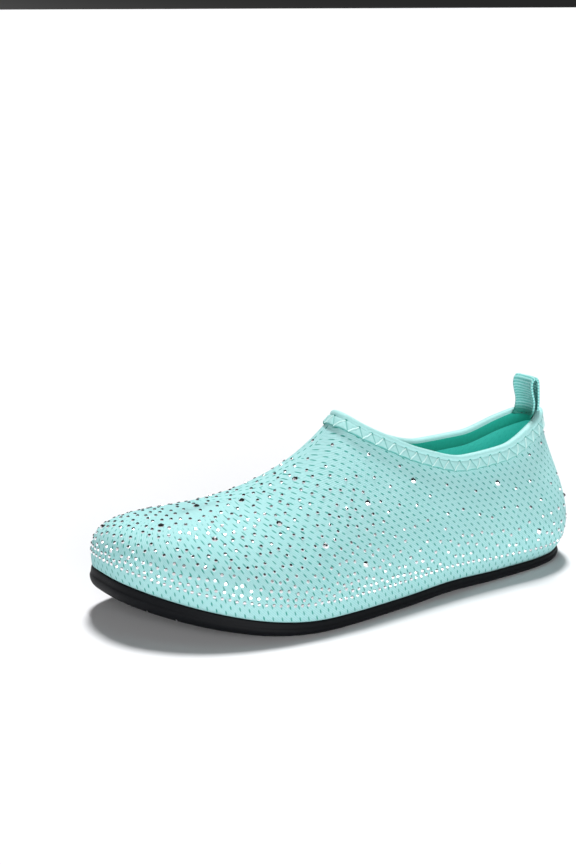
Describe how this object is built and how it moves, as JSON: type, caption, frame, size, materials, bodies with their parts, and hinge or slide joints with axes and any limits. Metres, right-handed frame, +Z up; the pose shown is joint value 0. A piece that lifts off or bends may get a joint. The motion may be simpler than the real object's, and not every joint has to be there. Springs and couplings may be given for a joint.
{
  "type": "water shoe",
  "caption": "Left slip-on water shoe with a knit upper, a bound low collar, a heel pull loop and a moulded rubber sole with hexagon and ring tread.",
  "frame": {"origin": "middle of the bounding box on the floor that the shoe stands on", "axes": "+Z up from the floor; +Y from the toe to the heel; +X towards the outer side of the left foot"},
  "size_m": [0.1016, 0.254, 0.0928],
  "materials": {
    "outsole": "matt near-black moulded rubber, fine grain",
    "insole": "thin foam covered in dark teal cloth",
    "upper": "aqua stretch knit with small slanted dashes and set stones",
    "collar_binding": "smooth light aqua stretch tape with zigzag stitching",
    "pull_loop": "ribbed aqua webbing"
  },
  "bodies": {
    "root": {"outsole": "outsole", "insole": "insole", "upper": "upper", "collar_binding": "collar_binding", "pull_loop": "pull_loop"}
  },
  "joints": []
}
